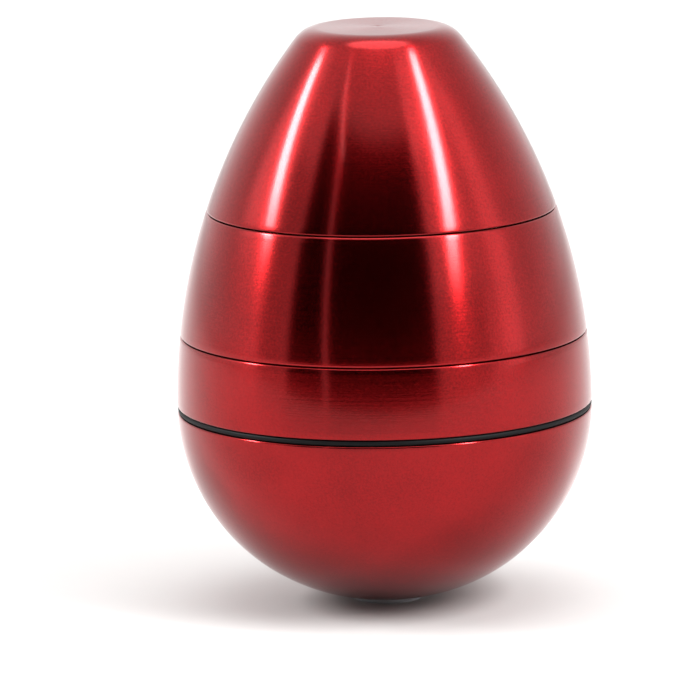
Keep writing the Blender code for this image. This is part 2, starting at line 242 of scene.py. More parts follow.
def soften(section: Sequence[Corner], closed: bool, steps: int = 4) -> list[Corner]:
    """Round the sharp corners of a section.

    Args:
        section: The section's points.
        closed: Whether the last point joins the first.
        steps: How many chords each rounded corner gets.

    Returns:
        The section with a small curve in place of each sharp corner.
    """
    result: list[Corner] = []
    for i, corner in enumerate(section):
        if not closed and i in (0, len(section) - 1):
            result.append(corner)
            continue
        here = Vector(corner[:2])
        back = Vector(section[i - 1][:2]) - here
        on = Vector(section[(i + 1) % len(section)][:2]) - here
        if back.angle(-on) < SHARP_SECTION:
            result.append(corner)
            continue
        cut = min(corner.edge, MAX_CUT * back.length, MAX_CUT * on.length)
        first, last = here + back.normalized() * cut, here + on.normalized() * cut
        for k in range(steps + 1):
            t = k / steps
            point = first * (1 - t) ** 2 + here * (2 * t * (1 - t)) + last * t**2
            result.append(Corner(point.x, point.y))
    return result


# ---- finishes


@dataclass(frozen=True)
class Finish:
    """What every finish has: a name, the colours that it varies between, and its roughness."""

    name: str
    colour: str
    deep_colour: str
    roughness: float

    def make(self) -> Material:
        """Build the material.

        Returns:
            The material, with its pattern in object space.
        """
        made = bpy.data.materials.new(self.name)
        made.use_nodes = True
        tree = made.node_tree
        feed(tree, tree.nodes["Principled BSDF"], self._surface(tree))
        return made

    def _tint(self, tree: NodeTree, depth: Node) -> NodeSocket:
        """Mix the two colours, the deep one where the depth is 0 and the other where it is 1."""
        colours = {0: depth, 6: linear(self.deep_colour), 7: linear(self.colour)}
        return add_node(tree, "Mix", colours, data_type="RGBA").outputs[2]

    def _gloss(self, tree: NodeTree, pattern: Node, low: float, high: float, spread: float) -> Node:
        """Let the roughness stray by the spread, as a pattern goes from low to high."""
        ends = {1: low, 2: high, 3: self.roughness - spread, 4: self.roughness + spread}
        return add_node(tree, "MapRange", {0: pattern, **ends})

    def _surface(self, tree: NodeTree) -> dict:
        """Work out the shader's inputs, by name, with nodes in the material's tree."""
        raise NotImplementedError


@dataclass(frozen=True)
class AnodisedAluminium(Finish):
    """Aluminium turned on a lathe, then anodised, dyed red and sealed.

    The dye tints the metal's own reflections, and the clear oxide over it adds a
    thin white gloss. The tool leaves rings round the axis, so highlights are
    drawn out along the egg and stay crisp across it.
    """

    name: str = "anodised_aluminium"
    colour: str = "#A01418"
    deep_colour: str = "#740A0D"
    roughness: float = 0.18
    spread: float = 0.04
    anisotropy: float = 0.78
    quarter_turn: float = 0.25
    coat: float = 0.22
    coat_roughness: float = 0.12
    coat_ior: float = 1.6
    ring_spacing: float = 0.3  # real rings are 0.05 mm apart; drawn coarser, so that they show
    grain: float = 0.26  # real etched grain is 0.02 mm; drawn coarser, so that it shows
    dye_patch: float = 9.0
    relief: float = 0.005
    ring_share: float = 0.6
    relief_span: tuple[float, float] = (0.4, 1.2)
    grain_share: float = 1.6
    dye_span: tuple[float, float] = (0.7, 1.9)
    lean: float = -1.0  # -1 where the egg narrows upwards, 1 where it narrows downwards

    def _surface(self, tree: NodeTree) -> dict:
        """Work out the shader's inputs.

        Args:
            tree: The material's nodes.

        Returns:
            The inputs.
        """
        place = add_node(tree, "TexCoord").outputs["Object"]
        split = add_node(tree, "SeparateXYZ", {0: place}).outputs
        flat = add_node(tree, "CombineXYZ", {0: split[0], 1: split[1]})
        radius = add_node(tree, "VectorMath", {0: flat}, operation="LENGTH").outputs["Value"]
        along = add_node(tree, "Math", {0: radius, 1: self.lean, 2: split[2]}, operation="MULTIPLY_ADD")
        grooves = {"W": along, "Scale": 1 / (self.ring_spacing * MM), "Detail": 2.0}
        rings = add_node(tree, "TexNoise", grooves, noise_dimensions="1D")
        fine = {"Vector": place, "Scale": 1 / (self.grain * MM), "Detail": 2.0, "Roughness": 0.6}
        grain = add_node(tree, "TexNoise", fine)
        patches = {"Vector": place, "Scale": 1 / (self.dye_patch * MM), "Detail": 3.0}
        dye = add_node(tree, "TexNoise", patches)
        relief = add_node(tree, "Math", {0: rings, 1: self.ring_share, 2: grain}, operation="MULTIPLY_ADD")
        depth = add_node(tree, "Math", {0: grain, 1: self.grain_share, 2: dye}, operation="MULTIPLY_ADD")
        depth = add_node(tree, "MapRange", {0: depth, 1: self.dye_span[0], 2: self.dye_span[1]})
        return {
            "Base Color": self._tint(tree, depth),
            "Roughness": self._gloss(tree, relief, *self.relief_span, self.spread),
            "Normal": add_node(tree, "Bump", {"Height": relief, "Distance": self.relief * MM}),
            "Tangent": add_node(tree, "Tangent", direction_type="RADIAL", axis="Z"),
            "Metallic": 1.0,
            "Anisotropic": self.anisotropy,
            "Anisotropic Rotation": self.quarter_turn,
            "Coat Weight": self.coat,
            "Coat Roughness": self.coat_roughness,
            "Coat IOR": self.coat_ior,
        }


@dataclass(frozen=True)
class GrainedSolid(Finish):
    """A plain material whose colour, roughness and surface follow one fine grain.

    It serves the rubbers, the nylon and the plated and drawn steels, each with
    its own real colour, gloss and grain size.
    """

    grain: float
    relief: float = 0.002
    metallic: float = 0.0
    ior: float = 1.5
    subsurface: float = 0.0
    specular: float = 0.5
    spread: float = 0.06
    grain_span: tuple[float, float] = (0.3, 0.7)
    scatter: float = 2.0

    def _surface(self, tree: NodeTree) -> dict:
        """Work out the shader's inputs.

        Args:
            tree: The material's nodes.

        Returns:
            The inputs.
        """
        place = add_node(tree, "TexCoord").outputs["Object"]
        fine = {"Vector": place, "Scale": 1 / (self.grain * MM), "Detail": 3.0}
        grain = add_node(tree, "TexNoise", fine)
        return {
            "Base Color": self._tint(tree, grain),
            "Roughness": self._gloss(tree, grain, *self.grain_span, self.spread),
            "Normal": add_node(tree, "Bump", {"Height": grain, "Distance": self.relief * MM}),
            "Metallic": self.metallic,
            "IOR": self.ior,
            "Specular IOR Level": self.specular,
            "Subsurface Weight": self.subsurface,
            "Subsurface Radius": (self.scatter * MM,) * 3,
        }


# ---- turning


@dataclass(frozen=True)
class Thread:
    """A right-hand, single-start screw thread pressed into rows of one radius.

    Args:
        side: Whether its ridges stand outwards or inwards.
        radius: The rows' radius.
        low: Where the thread starts.
        high: Where it ends.
    """

    side: Side
    radius: float
    low: float
    high: float
    pitch: float = 2.0
    depth: float = 0.7
    fade: float = 0.5
    steepness: float = 1.3  # above 1, it leaves narrow flats along the crest and the root
    rows_per_pitch: int = 20

    def rows(self) -> list[Corner]:
        """Points close enough together to carry the thread.

        Returns:
            The points, upwards.
        """
        count = round((self.high - self.low) / (self.pitch / self.rows_per_pitch))
        step = (self.high - self.low) / count
        return [Corner(self.radius, self.low + step * i) for i in range(count + 1)]

    def offset(self, turn: np.ndarray, height: np.ndarray) -> np.ndarray:
        """How far the surface stands off the rows.

        Args:
            turn: Angles about the axis, in radians.
            height: Heights, in millimetres.

        Returns:
            Offsets in millimetres, positive outwards.
        """
        phase = (height / self.pitch - turn / FULL_TURN) % 1.0
        ridge = np.clip(0.5 + self.steepness * (np.abs(2 * phase - 1) - 0.5), 0.0, 1.0)
        fade = np.clip(np.minimum(height - self.low, self.high - height) / self.fade, 0.0, 1.0)
        return self.depth * fade * (ridge - self.side.value)


@dataclass(frozen=True)
class Lathe:
    """Spins sections about the egg's axis."""

    segments: int = 256

    def turn(
        self,
        name: str,
        section: Sequence[Corner],
        closed: bool = False,
        threads: Iterable[Thread] = (),
        split: float = 0.0,
    ) -> Object:
        """Turn a section into a piece.

        Args:
            name: The piece's name.
            section: The section, as a loop if closed, or from axis to axis.
            closed: Whether the last point joins the first.
            threads: Threads to press into the rows.
            split: Angle of a gap left in a closed ring, centred on +X.

        Returns:
            The piece, in metres.
        """
        points = soften(section, closed)
        steps = np.arange(self.segments + (split > 0))
        turns = split / 2 + steps * (FULL_TURN - split) / self.segments
        bm = bmesh.new()
        rings = []
        for r, z, _ in points:
            if r < TOUCH:
                rings.append([bm.verts.new((0.0, 0.0, z * MM))])
                continue
            radii = np.full(len(turns), r)
            for thread in threads:
                if abs(r - thread.radius) < TOUCH and thread.low - TOUCH < z < thread.high + TOUCH:
                    radii = radii + thread.offset(turns, np.full(len(turns), z))
            places = zip(radii * np.cos(turns) * MM, radii * np.sin(turns) * MM)
            rings.append([bm.verts.new((x, y, z * MM)) for x, y in places])
        loft(bm, rings + rings[:1] if closed else rings, wrap=not split)
        if split:
            bm.faces.new([ring[0] for ring in rings])
            bm.faces.new([ring[-1] for ring in rings])
        obj = new_object(name, bm)
        shade(obj)
        return obj


@dataclass(frozen=True)
class EggOutline:
    """The egg's outside: a round bowl arc and a long shoulder arc that meet on the equator."""

    max_radius: float
    pole_z: float = 0.45
    equator_z: float = 25.25
    shoulder_radius: float = 75.5
    shoulder_end: float = math.radians(37.5)
    top_fillet: float = 3.7
    fillet_steps: int = 16
    top_rings: int = 6
    chord: float = 0.9
    min_chords: int = 4

    @property
    def bowl_radius(self) -> float:
        """Radius of the arc below the equator."""
        return self.equator_z - self.pole_z

    def arc_radius(self, z: float) -> float:
        """Radius of the arc that a height lies on."""
        return self.bowl_radius if z < self.equator_z else self.shoulder_radius

    def skin(self, low: float, high: float, inset: float = 0.0, edge: float = TRIMMED) -> list[Corner]:
        """Points along the outline, at steps fine enough to look round.

        Args:
            low: First height.
            high: Last height.
            inset: How far inside the outside the points lie.
            edge: Softening of the corners at both ends.

        Returns:
            The points, upwards.
        """
        bend = self.arc_radius((low + high) / 2) - inset
        centre = (self.max_radius - bend - inset, self.equator_z)
        start = math.asin((low - self.equator_z) / bend)
        end = math.asin((high - self.equator_z) / bend)
        steps = max(self.min_chords, round(bend * (end - start) / self.chord))
        points = arc(centre, bend, start, end, steps)
        points[0] = points[0]._replace(edge=edge)
        points[-1] = points[-1]._replace(edge=edge)
        return points

    def cap(self) -> list[Corner]:
        """Points round the edge of the flat top and across it.

        Returns:
            The points, from the shoulder to the middle.
        """
        reach = self.shoulder_radius - self.top_fillet
        centre_r = self.max_radius - self.shoulder_radius + reach * math.cos(self.shoulder_end)
        centre_z = self.equator_z + reach * math.sin(self.shoulder_end)
        centre = (centre_r, centre_z)
        points = arc(centre, self.top_fillet, self.shoulder_end, math.pi / 2, self.fillet_steps)
        top_z = centre_z + self.top_fillet
        rings = range(self.top_rings - 1, -1, -1)
        return points + [Corner(centre_r * k / self.top_rings, top_z) for k in rings]

    @property
    def shoulder_end_z(self) -> float:
        """Height at which the shoulder arc gives way to the top's rounded edge."""
        return self.equator_z + self.shoulder_radius * math.sin(self.shoulder_end)


@dataclass(frozen=True)
class ScrewJoint:
    """The screw joint that two of the sections share: a spigot going down into a mouth."""

    root_radius: float = 22.15
    clearance: float = 0.25
    bore_radius: float = 20.8
    pilot_radius: float = 23.3
    pilot_length: float = 0.65
    mouth_depth: float = 0.85
    spigot_length: float = 4.6
    lead_in: float = 0.3

    def male(self, rim_z: float) -> Thread:
        """The thread on the spigot that enters a mouth with this rim."""
        low = rim_z - self.spigot_length + self.lead_in
        return Thread(Side.MALE, self.root_radius, low, rim_z - self.pilot_length - self.lead_in)

    def female(self, rim_z: float, end_z: float) -> Thread:
        """The thread inside the mouth, down to where it ends."""
        radius = self.root_radius + Thread.depth + self.clearance
        return Thread(Side.FEMALE, radius, end_z, rim_z - self.mouth_depth)

    def spigot(self, rim_z: float, shoulder_z: float) -> list[Corner]:
        """Section of the spigot.

        Args:
            rim_z: Height of the rim of the mouth that it enters.
            shoulder_z: Height of the shoulder above it.

        Returns:
            The points, from its bore round to the shoulder.
        """
        end_z = rim_z - self.spigot_length
        pilot_z = rim_z - self.pilot_length
        section = profile((self.bore_radius, end_z), (self.root_radius - self.lead_in, end_z))
        section += self.male(rim_z).rows()
        return section + profile((self.pilot_radius, pilot_z), (self.pilot_radius, shoulder_z))

    def mouth(self, rim_z: float, end_z: float) -> list[Corner]:
        """Section of the mouth.

        Args:
            rim_z: Height of its rim.
            end_z: Height of its thread's end.

        Returns:
            The points, from the rim down past the thread.
        """
        radius = self.pilot_radius + self.clearance
        section = profile((radius, rim_z), (radius, rim_z - self.mouth_depth))
        return section + self.female(rim_z, end_z).rows()[::-1]


# ---- fitting


class Span(NamedTuple):
    """A node's reach in the frame, in millimetres: its radius and its lowest and highest points."""

    radius: float
    low: float
    high: float


def span(node: str) -> Span:
    """Read a node's reach from the frame.

    Args:
        node: The node's name.

    Returns:
        Its radius, lowest and highest points, in millimetres.
    """
    low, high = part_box(node)
    return Span(high.x / MM, low.z / MM, high.z / MM)


def dress(obj: Object, node: str, body: str, finish: Material) -> None:
    """Give a finished piece its material, and fit it to the frame.

    Args:
        obj: The piece.
        node: The CAD node that it stands for.
        body: The body that it moves with.
        finish: Its material.
    """
    obj.data.materials.clear()
    obj.data.materials.append(finish)
    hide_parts(node)
    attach(obj, body)
    log.info("%s: %d faces, on body %s", obj.name, len(obj.data.polygons), body)


def carve(obj: Object, operation: str, tool: Object) -> None:
    """Join a tool to a piece, or cut the tool's shape out of it, and throw the tool away.

    Args:
        obj: The piece.
        operation: "UNION" or "DIFFERENCE".
        tool: The other mesh.
    """
    modifier = obj.modifiers.new(tool.name, "BOOLEAN")
    modifier.operation = operation
    modifier.solver = "EXACT"
    modifier.object = tool
    tool.hide_render = True
    result = bpy.data.meshes.new_from_object(obj.evaluated_get(bpy.context.evaluated_depsgraph_get()))
    obj.modifiers.remove(modifier)
    obj.data = result
    bpy.data.objects.remove(tool)


@dataclass(frozen=True)
class ToothRing:
    """Evenly spaced places round the axis for teeth or holes.

    Args:
        count: How many there are.
        radius: How far they are from the axis.
    """

    count: int
    radius: float

    def places(self) -> list[tuple[float, float, float]]:
        """Each place's angle and its x and y, in millimetres."""
        turns = [FULL_TURN * (i + 0.5) / self.count for i in range(self.count)]
        return [(a, self.radius * math.cos(a), self.radius * math.sin(a)) for a in turns]


@dataclass(frozen=True)
class Teeth:
    """Diamond-shaped milled teeth, with their sharp edges facing the way that they travel."""

    rings: tuple[ToothRing, ...]
    half_depth: float = 1.1
    half_width: float = 1.7
    length: float = 10.2
    taper: float = 0.75
    root: float = 0.8
    deburr: float = 0.1

    def build(self, name: str, face_z: float, way: int) -> Object:
        """Make all the teeth as one mesh.

        Args:
            name: The mesh's name.
            face_z: Height of the plate's face that they stand on.
            way: 1 where they point up, -1 where they point down.

        Returns:
            The teeth, rooted a little inside the plate.
        """
        root_z, tip_z = face_z - way * self.root, face_z + way * self.length
        bm = bmesh.new()
        for ring in self.rings:
            for turn, x, y in ring.places():
                self._tooth(bm, turn, Vector((x, y, 0.0)), root_z, tip_z)
        bmesh.ops.bevel(
            bm, geom=bm.edges[:], offset=self.deburr * MM, segments=2, profile=0.5, affect="EDGES"
        )
        return new_object(name, bm)

    def _tooth(self, bm: BMesh, turn: float, place: Vector, root_z: float, tip_z: float) -> None:
        """Add one tooth, a tapered prism over a diamond.

        Args:
            bm: The mesh to add to.
            turn: The tooth's angle about the axis.
            place: Its centre.
            root_z: Height of its root.
            tip_z: Height of its tip.
        """
        out = Vector((math.cos(turn), math.sin(turn), 0.0)) * self.half_depth
        along = Vector((-math.sin(turn), math.cos(turn), 0.0)) * self.half_width
        ends = []
        for z, scale in ((root_z, 1.0), (tip_z, self.taper)):
            lift = Vector((0.0, 0.0, z))
            around = (out, along, -out, -along)
            ends.append([bm.verts.new((place + offset * scale + lift) * MM) for offset in around])
        loft(bm, ends, capped=True)


@dataclass(frozen=True)
class DropHoles:
    """Drilled holes that ground herb falls through, countersunk on top."""

    rings: tuple[tuple[ToothRing, float], ...]
    sides: int = 40
    sink: float = 0.3
    over: float = 0.5

    def build(self, name: str, low: float, high: float) -> Object:
        """Make the drill's shape at every hole, as one mesh.

        Args:
            name: The mesh's name.
            low: Height of the plate's underside.
            high: Height of its face.

        Returns:
            The cutter.
        """
        bm = bmesh.new()
        for ring, radius in self.rings:
            wide = radius + self.sink
            rows = (
                (wide, low - self.over),
                (wide, low),
                (radius, low + self.sink),
                (radius, high - self.sink),
                (wide, high),
                (wide, high + self.over),
            )
            for _, x, y in ring.places():
                loft(bm, [self._loop(bm, x, y, r, z) for r, z in rows], capped=True)
        return new_object(name, bm)

    def _loop(self, bm: BMesh, x: float, y: float, radius: float, z: float) -> list:
        """Vertices of one circle of the drill, in order."""
        turns = [FULL_TURN * k / self.sides for k in range(self.sides)]
        return [
            bm.verts.new(Vector((x + radius * math.cos(a), y + radius * math.sin(a), z)) * MM)
            for a in turns
        ]


@dataclass(frozen=True)
class Magnet:
    """A small round magnet, nickel plated, that holds lid and chamber together."""

    lathe: Lathe
    finish: Material
    edge: float = 0.25
    pocket_radius: float = 2.7
    pocket_gap: float = 0.2

    def build(self, name: str, node: str, body: str) -> None:
        """Make a magnet where its node is.

        Args:
            name: The piece's name.
            node: The CAD node that it stands for.
            body: The body that it moves with.
        """
        radius, low, high = span(node)
        section = profile((0.0, low), (radius, low, self.edge))
        section += profile((radius, high, self.edge), (0.0, high))
        dress(self.lathe.turn(name, section), node, body, self.finish)


# ---- sub-assemblies


@dataclass(frozen=True)
class Section:
    """What the egg's sections share: its outline, their screw joint, a lathe and their metal."""

    outline: EggOutline
    screw: ScrewJoint
    lathe: Lathe
    metal: Material


@dataclass(frozen=True)
class Bowl(Section):
    """The round bottom of the egg, with a threaded mouth, standing on a soft pad."""

    silicone: Material
    wall: float = 3.0
    floor_z: float = 5.0
    thread_end_z: float = 19.4
    pad_gap: float = 0.15
    lip: float = 0.22
    inner_edge: float = 1.0

    def build(self) -> None:
        """Make the bowl and its pad."""
        self._shell()
        self._pad()

    def _shell(self) -> None:
        """Turn the bowl: an arc outside, a flat floor inside, and a recess for the pad."""
        rim_z = span("bowl_shell").high
        pad = span("foot_pad")
        recess_r, recess_z = pad.radius + self.pad_gap, pad.high + self.pad_gap
        bend = self.outline.bowl_radius
        reach = recess_r - (self.outline.max_radius - bend)
        low = self.outline.equator_z - math.sqrt(bend**2 - reach**2)
        section = profile((0.0, recess_z), (recess_r, recess_z))
        section += self.outline.skin(low, rim_z, edge=self.lip)
        section += self.screw.mouth(rim_z, self.thread_end_z)
        inner_top = self.thread_end_z - self.screw.lead_in
        inside = self.outline.skin(self.floor_z, inner_top, inset=self.wall, edge=self.inner_edge)
        section += inside[::-1] + profile((0.0, self.floor_z))
        threads = [self.screw.female(rim_z, self.thread_end_z)]
        bowl = self.lathe.turn("bowl_turned", section, threads=threads)
        dress(bowl, "bowl_shell", "bowl", self.metal)

    def _pad(self) -> None:
        """Mould the pad that the egg stands on."""
        radius, low, high = span("foot_pad")
        section = profile((0.0, low), (radius, low, EASED), (radius, high), (0.0, high))
        dress(self.lathe.turn("foot_disc", section), "foot_pad", "bowl", self.silicone)


@dataclass(frozen=True)
class SieveRing(Section):
    """The ring under the chamber: a seal below it, and a woven screen held by a spring ring."""

    rubber: Material
    wire: Material
    spring: Material
    ledge_z: float = 28.3
    groove_radius: float = 23.6
    groove_top_z: float = 29.25
    seam: float = 0.05
    lip: float = 0.22
    seal_gap: float = 0.2
    seal_steps: int = 14
    wire_pitch: float = 0.9  # a real screen has a wire every 0.25 mm; drawn coarser, so that it shows
    wire_radius: float = 0.09
    wire_gap: float = 0.1
    wire_sides: int = 6
    wire_steps: int = 4
    clip_inner: float = 21.7
    clip_edge: float = 0.15
    clip_split: float = math.radians(12)

    def build(self) -> None:
        """Make the seal, the ring, the screen and its spring ring."""
        self._seal()
        self._ring()
        self._screen()
        self._clip()

    def _seal(self) -> None:
        """Mould the flat black seal, with a round outer edge."""
        radius, low, high = span("seal_ring")
        edge = (high - low) / 2
        inner = self.screw.pilot_radius + self.seal_gap
        section = profile((inner, low))
        section += arc((radius - edge, low + edge), edge, -math.pi / 2, math.pi / 2, self.seal_steps)
        section += profile((inner, high))
        seal = self.lathe.turn("seal_band", section, closed=True)
        dress(seal, "seal_ring", "seal", self.rubber)

    def _ring(self) -> None:
        """Turn the ring: a spigot below, a mouth above, and a ledge for the screen."""
        low, high = span("seal_ring").high + self.seam, span("sieve_ring").high
        rim_z = span("bowl_shell").high
        section = self.screw.spigot(rim_z, low) + self.outline.skin(low, high, edge=self.lip)
        section += self.screw.mouth(high, self.groove_top_z)
        section += profile((self.groove_radius, self.groove_top_z), (self.groove_radius, self.ledge_z))
        section += profile((self.screw.bore_radius, self.ledge_z))
        threads = [self.screw.male(rim_z), self.screw.female(high, self.groove_top_z)]
        ring = self.lathe.turn("sieve_ring_turned", section, closed=True, threads=threads)
        dress(ring, "sieve_ring", "sieve", self.metal)

    def _screen(self) -> None:
        """Weave the screen: wires each way that pass over and under each other."""
        radius, low, high = span("sieve_screen")
        count = math.floor(radius / self.wire_pitch)
        bm = bmesh.new()
        for way in (0, 1):
            for k in range(-count, count + 1):
                across = k * self.wire_pitch
                reach = math.sqrt(max(0.0, (radius - self.wire_gap) ** 2 - across**2))
                if reach > self.wire_pitch:
                    self._wire(bm, way, across, reach, (low + high) / 2, 1 if (k + way) % 2 else -1)
        screen = new_object("woven_screen", bm)
        screen.data.shade_smooth()
        dress(screen, "sieve_screen", "sieve", self.wire)

    def _wire(self, bm: BMesh, way: int, across: float, reach: float, z: float, phase: int) -> None:
        """Add one wavy wire.

        Args:
            bm: The mesh to add to.
            way: 0 for a wire along X, 1 for one along Y.
            across: Its distance from the axis.
            reach: Half its length.
            z: Height of the screen's middle.
            phase: 1 or -1, whether it starts over or under.
        """
        steps = max(self.wire_steps, round(2 * reach / self.wire_pitch * self.wire_steps))
        rings = []
        for i in range(steps + 1):
            along = -reach + 2 * reach * i / steps
            lift = z + phase * self.wire_radius * math.cos(math.pi * along / self.wire_pitch)
            ring = []
            for k in range(self.wire_sides):
                turn = FULL_TURN * k / self.wire_sides
                side = across + self.wire_radius * math.cos(turn)
                up = lift + self.wire_radius * math.sin(turn)
                point = (along, side, up) if way == 0 else (side, along, up)
                ring.append(bm.verts.new(Vector(point) * MM))
            rings.append(ring)
        loft(bm, rings, capped=True)

    def _clip(self) -> None:
        """Bend the split spring ring that snaps into the groove above the screen."""
        radius, low, high = span("screen_clip")
        outer = max(radius, self.groove_radius - self.screw.clearance)
        places = ((self.clip_inner, low), (outer, low), (outer, high), (self.clip_inner, high))
        section = [Corner(r, z, self.clip_edge) for r, z in places]
        clip = self.lathe.turn("spring_clip", section, closed=True, split=self.clip_split)
        dress(clip, "screen_clip", "sieve", self.spring)


@dataclass(frozen=True)
class Chamber(Section):
    """The grinding chamber: a wall with a collar and a spigot, and a toothed floor with holes."""

    magnet: Magnet
    seam_gap: float = 0.12
    lip: float = 0.27
    collar_radius: float = 18.7
    cavity_radius: float = 17.3
    press_gap: float = 0.07
    post_radius: float = 3.8
    post_edge: float = 0.25
    floor_thickness: float = 3.0
    teeth: Teeth = Teeth((ToothRing(9, 12.85), ToothRing(6, 6.8)))
    holes: DropHoles = DropHoles(((ToothRing(18, 15.6), 1.5), (ToothRing(9, 9.85), 1.7)))

    def build(self) -> None:
        """Make the wall, the toothed floor and the magnet in its post."""
        self._wall()
        self._floor()
        self.magnet.build("chamber_magnet_disc", "chamber_magnet", "chamber_core")

    def _wall(self) -> None:
        """Turn the chamber's wall, from its spigot up to the collar inside the lid."""
        rim_z, top_z = span("sieve_ring").high, span("lid_shell").low - self.seam_gap
        low, collar_z = rim_z + self.seam_gap, span("chamber_ring").high
        plate = span("chamber_tooth_plate")
        press_low = plate.low - self.press_gap
        press_high = plate.low + self.floor_thickness + self.press_gap
        press_radius = plate.radius + self.press_gap
        section = profile((self.screw.bore_radius, press_low))
        section += self.screw.spigot(rim_z, low) + self.outline.skin(low, top_z, edge=self.lip)
        section += profile((self.collar_radius, top_z), (self.collar_radius, collar_z, ROUNDED))
        section += profile((self.cavity_radius, collar_z, EASED), (self.cavity_radius, press_high))
        section += profile((press_radius, press_high), (press_radius, press_low))
        threads = [self.screw.male(rim_z)]
        wall = self.lathe.turn("chamber_turned", section, closed=True, threads=threads)
        dress(wall, "chamber_ring", "chamber", self.metal)

    def _floor(self) -> None:
        """Mill the floor that is pressed in from below: its teeth, holes and magnet post."""
        radius, low, top = span("chamber_tooth_plate")
        face_z = low + self.floor_thickness
        pocket_r, pocket_z = self.magnet.pocket_radius, span("chamber_magnet").low - self.magnet.pocket_gap
        section = profile((0.0, low), (radius, low, EASED), (radius, face_z, EASED))
        section += profile((self.post_radius, face_z, ROUNDED), (self.post_radius, top, self.post_edge))
        section += profile((pocket_r, top), (pocket_r, pocket_z), (0.0, pocket_z))
        floor = self.lathe.turn("chamber_floor_milled", section)
        carve(floor, "UNION", self.teeth.build("chamber_teeth", face_z, 1))
        carve(floor, "DIFFERENCE", self.holes.build("drills", low, face_z))
        shade(floor)
        dress(floor, "chamber_tooth_plate", "chamber", self.metal)


@dataclass(frozen=True)
class Lid(Section):
    """The domed lid: a hollow shell on a nylon glide, with a toothed plate pressed into it."""

    nylon: Material
    magnet: Magnet
    bore_radius: float = 19.0
    groove_inner: float = 19.6
    groove_outer: float = 20.9
    groove_depth: float = 1.0
    wall: float = 2.4
    ceiling_z: float = 69.7
    plate_thickness: float = 2.4
    seat_z: float = 53.3
    fit_gap: float = 0.07
    boss_radius: float = 3.8
    ceiling_edge: float = 1.5
    lip: float = 0.27
    teeth: Teeth = Teeth((ToothRing(9, 15.65), ToothRing(6, 9.85)))

    def build(self) -> None:
        """Make the glide ring, the shell, the toothed plate and the magnet."""
        self._glide()
        self._shell()
        self._plate()
        self.magnet.build("lid_magnet_disc", "lid_magnet", "lid")

    def _glide(self) -> None:
        """Mould the nylon ring that the lid turns on."""
        _, low, high = span("glide_ring")
        inner, outer = self.groove_inner + self.fit_gap, self.groove_outer - self.fit_gap
        section = profile((inner, low), (outer, low), (outer, high), (inner, high))
        glide = self.lathe.turn("glide_band", section, closed=True)
        dress(glide, "glide_ring", "glide", self.nylon)

    def _shell(self) -> None:
        """Turn the lid's shell, a dome of even wall with a rounded flat top."""
        low = span("lid_shell").low
        groove_z = low + self.groove_depth
        plate_top = self._face_z() + self.plate_thickness + self.fit_gap
        section = profile((self.bore_radius, low, EASED), (self.groove_inner, low))
        section += profile((self.groove_inner, groove_z), (self.groove_outer, groove_z))
        section += profile((self.groove_outer, low))
        section += self.outline.skin(low, self.outline.shoulder_end_z, edge=self.lip)
        section += self.outline.cap()[1:] + profile((0.0, self.ceiling_z))
        inside = self.outline.skin(plate_top, self.ceiling_z, inset=self.wall, edge=self.ceiling_edge)
        section += inside[::-1]
        bore = span("lid_tooth_plate").radius + self.fit_gap
        section += profile((bore, plate_top), (bore, self.seat_z), (self.bore_radius, self.seat_z))
        shell = self.lathe.turn("lid_turned", section, closed=True)
        dress(shell, "lid_shell", "lid", self.metal)

    def _face_z(self) -> float:
        """Height of the toothed plate's lower face."""
        return span("lid_tooth_plate").low + self.teeth.length

    def _plate(self) -> None:
        """Mill the toothed plate, with a pocket for the magnet and a boss behind it."""
        radius, _, top = span("lid_tooth_plate")
        face_z = self._face_z()
        back_z = face_z + self.plate_thickness
        pocket_r, pocket_z = self.magnet.pocket_radius, span("lid_magnet").high + self.magnet.pocket_gap
        section = profile((0.0, pocket_z), (pocket_r, pocket_z), (pocket_r, face_z))
        section += profile((radius, face_z, EASED), (radius, back_z, EASED))
        section += profile((self.boss_radius, back_z, ROUNDED), (self.boss_radius, top, EASED))
        section += profile((0.0, top))
        plate = self.lathe.turn("lid_plate_milled", section)
        carve(plate, "UNION", self.teeth.build("lid_teeth", face_z, -1))
        shade(plate)
        dress(plate, "lid_tooth_plate", "lid", self.metal)


# ---- studio


@dataclass(frozen=True)
class Panel:
    """A soft-edged rectangle of the studio's surroundings, seen from the egg.

    Args:
        level: Its brightness.
        azimuth: Its centre, in degrees to the right of the camera.
        elevation: Its centre above the horizon, in degrees.
        width: Its width in degrees.
        height: Its height in degrees.
        blur: How far its edges fade, in degrees.
        lean: How many degrees it shifts sideways for each degree up.
    """

    level: float
    azimuth: float
    elevation: float
    width: float
    height: float
    blur: float = 5.0
    lean: float = 0.0


